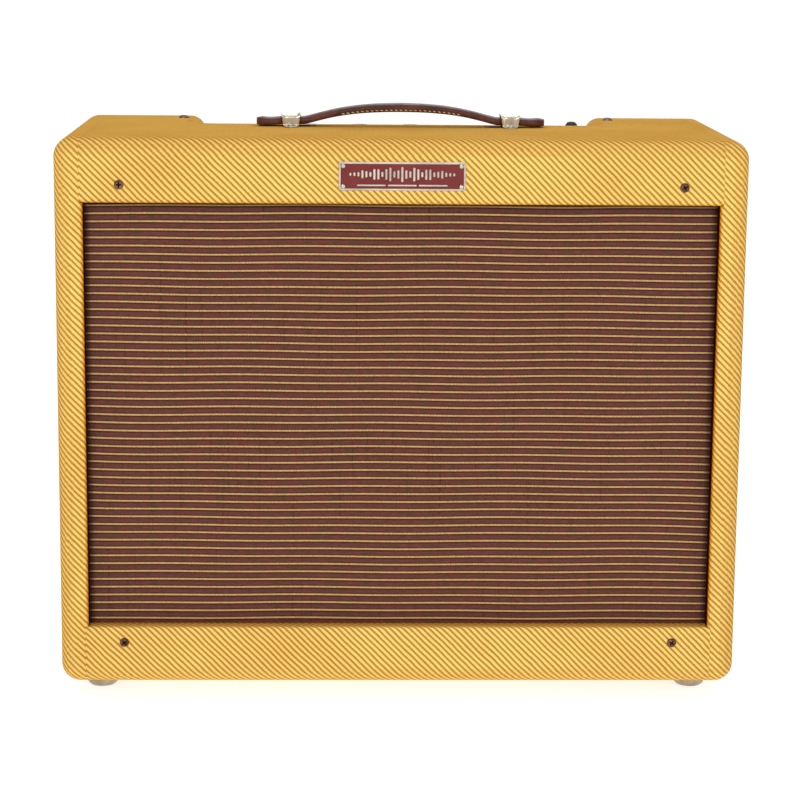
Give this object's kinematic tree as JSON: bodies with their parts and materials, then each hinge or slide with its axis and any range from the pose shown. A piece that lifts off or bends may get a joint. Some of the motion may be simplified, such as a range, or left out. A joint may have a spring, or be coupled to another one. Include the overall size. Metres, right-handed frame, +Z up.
{
  "type": "guitar amplifier",
  "caption": "Valve guitar combo amplifier: tweed-covered box cabinet with a woven grille, leather strap handle, rear control well, hanging chassis and one large speaker.",
  "frame": {"origin": "on the floor, under the middle of the cabinet", "axes": "+X right seen from the front, +Y to the back, +Z up; the grille faces -Y"},
  "size_m": [0.508, 0.2435, 0.4426],
  "materials": {
    "pine": "sawn pine",
    "birch_ply": "birch plywood",
    "tweed": "lacquered diagonal tweed",
    "grille_cloth": "woven grille cloth",
    "bronzed_steel": "dark oxide",
    "nickel": "plated",
    "plate_enamel": "enamelled plate",
    "leather": "waxed strap leather",
    "chromed_steel": "plated panel",
    "zinc_steel": "zinc plated",
    "black_plastic": "moulded",
    "knob_phenolic": "moulded",
    "red_jewel": "faceted jewel",
    "rubber": "moulded",
    "fibre_board": "vulcanised fibre",
    "capacitor_sleeve": "sleeved can",
    "component_body": "dipped film",
    "transformer_core": "varnished laminations",
    "black_paint": "stove enamel",
    "phenolic": "moulded phenolic",
    "valve_glass": "blown glass",
    "aluminium": "spun",
    "basket_paint": "grey enamel",
    "gasket_board": "pressed board",
    "cone_paper": "pressed paper cone",
    "coil_former": "kraft former",
    "spider_cloth": "resin treated cloth",
    "magnet_steel": "plated magnet steel"
  },
  "bodies": {
    "cabinet": {"back_cleats": "pine", "back_panel_screws": "nickel", "baffle_board": "birch_ply", "baffle_screws": "bronzed_steel", "board_components": "component_body", "bottom_panel": "pine", "chassis": "chromed_steel", "chassis_bolts": "bronzed_steel", "circuit_board": "fibre_board", "cord_grommet": "rubber", "filter_capacitors": "capacitor_sleeve", "front_rails": "pine", "fuse_holder": "black_plastic", "glide_feet": "nickel", "grille_cloth": "grille_cloth", "handle_bracket_screws": "nickel", "handle_brackets": "nickel", "input_jacks": "black_plastic", "lower_back_panel": "birch_ply", "magnet_cover": "black_paint", "nameplate": "plate_enamel", "nameplate_pins": "nickel", "output_transformer": "transformer_core", "panel_nuts": "nickel", "pilot_jewel": "red_jewel", "pilot_lamp_holder": "nickel", "potentiometers": "zinc_steel", "power_transformer": "transformer_core", "power_transformer_bells": "black_paint", "side_panels": "pine", "speaker_basket": "basket_paint", "speaker_bolts": "zinc_steel", "speaker_gasket": "gasket_board", "speaker_jacks": "black_plastic", "speaker_magnet": "magnet_steel", "speaker_surround": "cone_paper", "spider": "spider_cloth", "toggle_switch_body": "zinc_steel", "top_panel": "pine", "tweed_back_covers": "tweed", "tweed_shell_cover": "tweed", "upper_back_panel": "birch_ply", "valve_bases": "phenolic", "valve_glass": "valve_glass", "valve_shields": "aluminium", "valve_sockets": "phenolic"},
    "handle_grip": {"handle_grip": "leather"},
    "handle_end_left": {"handle_end_left": "leather"},
    "handle_end_right": {"handle_end_right": "leather"},
    "mic_volume": {"mic_volume_knob": "knob_phenolic", "mic_volume_shaft": "aluminium"},
    "instrument_volume": {"instrument_volume_knob": "knob_phenolic", "instrument_volume_shaft": "aluminium"},
    "tone": {"tone_knob": "knob_phenolic", "tone_shaft": "aluminium"},
    "toggle": {"toggle_lever": "nickel"},
    "fuse_cap": {"fuse_cap": "black_plastic"},
    "cone": {"speaker_cone": "cone_paper", "dust_cap": "cone_paper", "voice_coil": "coil_former"}
  },
  "joints": [
    {"name": "handle_lift", "type": "slide", "parent": "cabinet", "child": "handle_grip", "axis": [0, 0, 1], "range_m": [0, 0.03]},
    {"name": "handle_slide_left", "type": "slide", "parent": "handle_grip", "child": "handle_end_left", "axis": [0.4229, 0, -0.9062], "range_m": [0, 0.03312]},
    {"name": "handle_slide_right", "type": "slide", "parent": "handle_grip", "child": "handle_end_right", "axis": [-0.4229, 0, -0.9062], "range_m": [0, 0.03312]},
    {"name": "mic_volume_turn", "type": "hinge", "parent": "cabinet", "child": "mic_volume", "pos_m": [-0.0705, 0.076, 0.408], "axis": [0, 0, 1], "range_deg": [-150, 150]},
    {"name": "instrument_volume_turn", "type": "hinge", "parent": "cabinet", "child": "instrument_volume", "pos_m": [-0.0295, 0.076, 0.408], "axis": [0, 0, 1], "range_deg": [-150, 150]},
    {"name": "tone_turn", "type": "hinge", "parent": "cabinet", "child": "tone", "pos_m": [0.011, 0.076, 0.408], "axis": [0, 0, 1], "range_deg": [-150, 150]},
    {"name": "switch_throw", "type": "hinge", "parent": "cabinet", "child": "toggle", "pos_m": [0.07, 0.076, 0.4072], "axis": [1, 0, 0], "range_deg": [0, 25]},
    {"name": "fuse_cap_turn", "type": "hinge", "parent": "cabinet", "child": "fuse_cap", "pos_m": [0.1406, 0.076, 0.408], "axis": [0, 0, 1], "range_deg": [0, 90]},
    {"name": "cone_travel", "type": "slide", "parent": "cabinet", "child": "cone", "axis": [0, 1, 0], "range_m": [-0.002, 0.002], "stiffness_N_per_m": 3000}
  ],
  "couplings": [
    {"joint": "handle_slide_left", "follows": "handle_lift", "ratio": 1.1035},
    {"joint": "handle_slide_right", "follows": "handle_lift", "ratio": 1.1035}
  ]
}
